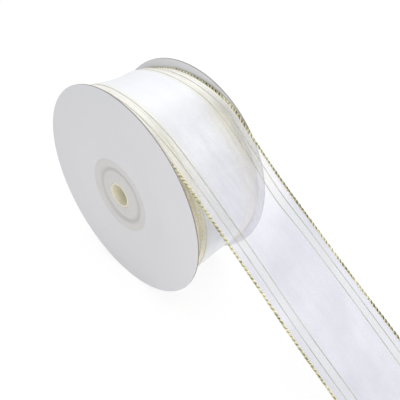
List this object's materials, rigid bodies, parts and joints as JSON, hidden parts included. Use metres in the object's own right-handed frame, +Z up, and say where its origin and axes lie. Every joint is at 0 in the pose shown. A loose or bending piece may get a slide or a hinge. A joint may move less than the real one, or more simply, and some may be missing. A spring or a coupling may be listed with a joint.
{
  "type": "ribbon spool",
  "caption": "Flanged paperboard reel on a moulded core, with sheer wired-edge gift ribbon wound on it and its loose end run out to the floor.",
  "frame": {"origin": "on the bore's axis, midway between the two flanges", "axes": "+Y along the bore, towards the rear flange; +Z up when the spool stands on its flanges; +X the way the loose end runs"},
  "size_m": [0.2335, 0.0402, 0.095],
  "materials": {
    "flange_board": "white-lined grey board, matt",
    "cap_plastic": "moulded off-white, satin",
    "core_plastic": "moulded natural, matt",
    "tube_plastic": "moulded ivory, satin",
    "start_tape": "crepe tape",
    "sheer_web": "sheer white organza",
    "gold_edge_thread": "metallic gold thread, overcast",
    "gold_stripe_yarn": "flat metallic gold yarn",
    "edge_wire": "annealed wire"
  },
  "bodies": {
    "ribbon": {"tail_web": "sheer_web", "tail_edge_front": "gold_edge_thread", "tail_edge_rear": "gold_edge_thread", "tail_wire_front": "edge_wire", "tail_wire_rear": "edge_wire", "tail_stripe_front_outer": "gold_stripe_yarn", "tail_stripe_front_inner": "gold_stripe_yarn", "tail_stripe_rear_outer": "gold_stripe_yarn", "tail_stripe_rear_inner": "gold_stripe_yarn"},
    "reel": {"front_flange": "flange_board", "rear_flange": "flange_board", "front_cap": "cap_plastic", "rear_cap": "cap_plastic", "core_drum": "core_plastic", "bore_tube": "tube_plastic", "start_tape": "start_tape", "wound_web": "sheer_web", "wound_edge_front": "gold_edge_thread", "wound_edge_rear": "gold_edge_thread", "wound_wire_front": "edge_wire", "wound_wire_rear": "edge_wire"}
  },
  "joints": [
    {"name": "reel_spin", "type": "hinge", "parent": "ribbon", "child": "reel", "pos_m": [0, 0, 0], "axis": [0, 1, 0], "continuous": true}
  ]
}
